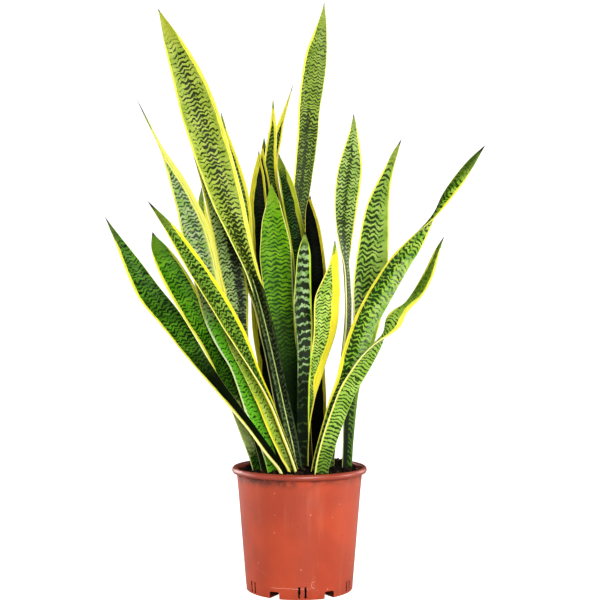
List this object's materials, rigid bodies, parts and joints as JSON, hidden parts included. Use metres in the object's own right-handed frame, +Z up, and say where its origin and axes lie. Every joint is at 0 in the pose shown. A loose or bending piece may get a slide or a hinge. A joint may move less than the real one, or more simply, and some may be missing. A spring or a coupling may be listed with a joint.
{
  "type": "potted snake plant",
  "caption": "Snake plant with tall sword-shaped leaves, dark cross bands and yellow margins, rooted in peat soil in a round plastic nursery pot.",
  "frame": {"origin": "middle of the pot's foot, on the plane it stands on", "axes": "+Z up along the pot's axis, -Y towards the front with the shortest leaves, +X to the right seen from the front"},
  "size_m": [0.585, 0.217, 0.928],
  "materials": {
    "pot_plastic": "moulded terracotta-coloured plastic with a soft sheen, fine scratches and soil dust",
    "potting_soil": "loose dark peat and bark crumbs, matt",
    "rhizome_skin": "smooth ochre skin with faint rings",
    "leaf_green": "waxy leaf, sage ground with dark zigzag bands and yellow margins",
    "leaf_fresh_green": "waxy leaf, bright green ground with dark wavy bands and thin yellow margins",
    "leaf_dark_green": "waxy leaf, dark green ground with pale mottling and yellow margins"
  },
  "bodies": {
    "root": {"pot": "pot_plastic", "potting_soil": "potting_soil", "rhizome_front": "rhizome_skin", "rhizome_left": "rhizome_skin", "rhizome_middle": "rhizome_skin", "rhizome_back": "rhizome_skin", "rhizome_back_left": "rhizome_skin", "rhizome_back_right": "rhizome_skin", "rhizome_right": "rhizome_skin", "leaf_tall_left": "leaf_green", "leaf_tall_right": "leaf_green", "leaf_far_left": "leaf_dark_green", "leaf_left_second": "leaf_dark_green", "leaf_left_third": "leaf_dark_green", "leaf_left_banded": "leaf_green", "leaf_left_tailed": "leaf_fresh_green", "leaf_left_small_tip": "leaf_dark_green", "leaf_left_back_inner": "leaf_dark_green", "leaf_left_back_outer": "leaf_dark_green", "leaf_back_golden_edge": "leaf_dark_green", "leaf_back_narrow": "leaf_dark_green", "leaf_back_far_left": "leaf_dark_green", "leaf_back_dark": "leaf_dark_green", "leaf_back_tall": "leaf_dark_green", "leaf_back_tailed": "leaf_dark_green", "leaf_back_wide_edge": "leaf_dark_green", "leaf_centre_fresh": "leaf_fresh_green", "leaf_centre_banded": "leaf_dark_green", "leaf_centre_right": "leaf_green", "leaf_back_right_dark": "leaf_dark_green", "leaf_right_upright": "leaf_green", "leaf_right_broad": "leaf_green", "leaf_right_big": "leaf_green", "leaf_far_right": "leaf_green"}
  },
  "joints": []
}
